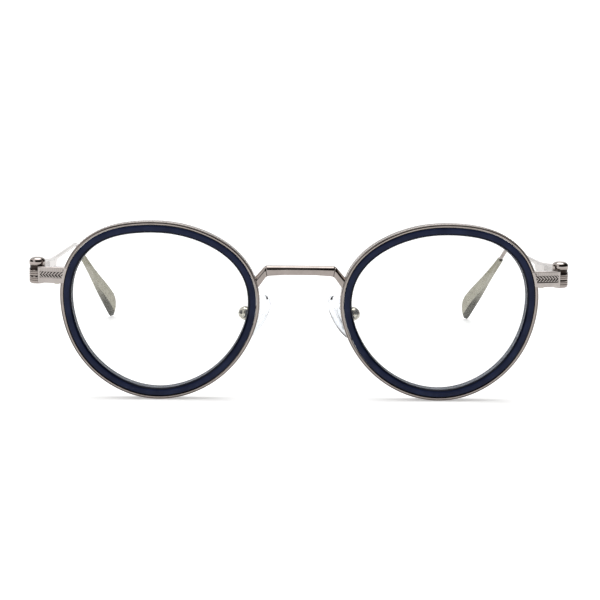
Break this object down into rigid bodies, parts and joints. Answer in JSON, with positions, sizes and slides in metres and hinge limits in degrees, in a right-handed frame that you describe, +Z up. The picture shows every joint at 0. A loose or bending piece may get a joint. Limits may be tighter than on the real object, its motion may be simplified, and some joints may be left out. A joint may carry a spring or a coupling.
{
  "type": "round wire eyeglasses",
  "caption": "Round metal eyeglasses with glossy navy inner rims, a straight bridge, clear nose pads and slim wire temples that fold inward on capped barrel hinges.",
  "frame": {"origin": "on the resting surface, under the middle of the overall box, with the temples open", "axes": "+Z up from the resting surface, -Y the way the lenses look, +X towards the wearer's left"},
  "size_m": [0.137, 0.14, 0.045],
  "materials": {
    "pewter_metal": "polished antique pewter plating",
    "screw_steel": "polished",
    "tip_metal": "satin champagne",
    "navy_acetate": "gloss",
    "clear_lens": "clear gloss",
    "clear_silicone": "clear gloss",
    "pad_core_nylon": "satin"
  },
  "bodies": {
    "front": {"bridge": "pewter_metal", "left_eyewire": "pewter_metal", "left_inner_ring": "navy_acetate", "left_lens": "clear_lens", "left_endpiece": "pewter_metal", "left_rim_lock_upper": "pewter_metal", "left_rim_lock_lower": "pewter_metal", "left_rim_screw": "screw_steel", "left_hinge_screw": "screw_steel", "left_hinge_cap": "pewter_metal", "left_pad_arm": "pewter_metal", "left_pad_box": "pewter_metal", "left_pad_screw": "screw_steel", "right_eyewire": "pewter_metal", "right_inner_ring": "navy_acetate", "right_lens": "clear_lens", "right_endpiece": "pewter_metal", "right_rim_lock_upper": "pewter_metal", "right_rim_lock_lower": "pewter_metal", "right_rim_screw": "screw_steel", "right_hinge_screw": "screw_steel", "right_hinge_cap": "pewter_metal", "right_pad_arm": "pewter_metal", "right_pad_box": "pewter_metal", "right_pad_screw": "screw_steel"},
    "left_temple": {"left_temple": "pewter_metal", "left_temple_tip": "tip_metal"},
    "right_temple": {"right_temple": "pewter_metal", "right_temple_tip": "tip_metal"},
    "left_pad": {"left_nose_pad": "clear_silicone", "left_pad_core": "pad_core_nylon"},
    "right_pad": {"right_nose_pad": "clear_silicone", "right_pad_core": "pad_core_nylon"}
  },
  "joints": [
    {"name": "left_temple_fold", "type": "hinge", "parent": "front", "child": "left_temple", "pos_m": [0.0664, -0.06397, 0.0307], "axis": [0, 0, 1], "range_deg": [0, 86]},
    {"name": "right_temple_fold", "type": "hinge", "parent": "front", "child": "right_temple", "pos_m": [-0.0664, -0.06397, 0.0307], "axis": [0, 0, -1], "range_deg": [0, 82]},
    {"name": "left_pad_rock", "type": "hinge", "parent": "front", "child": "left_pad", "pos_m": [0.0139, -0.06237, 0.02115], "axis": [-0.4159, -0.865, -0.2806], "range_deg": [-10, 10]},
    {"name": "right_pad_rock", "type": "hinge", "parent": "front", "child": "right_pad", "pos_m": [-0.0139, -0.06237, 0.02115], "axis": [-0.4159, 0.865, 0.2806], "range_deg": [-10, 10]}
  ]
}
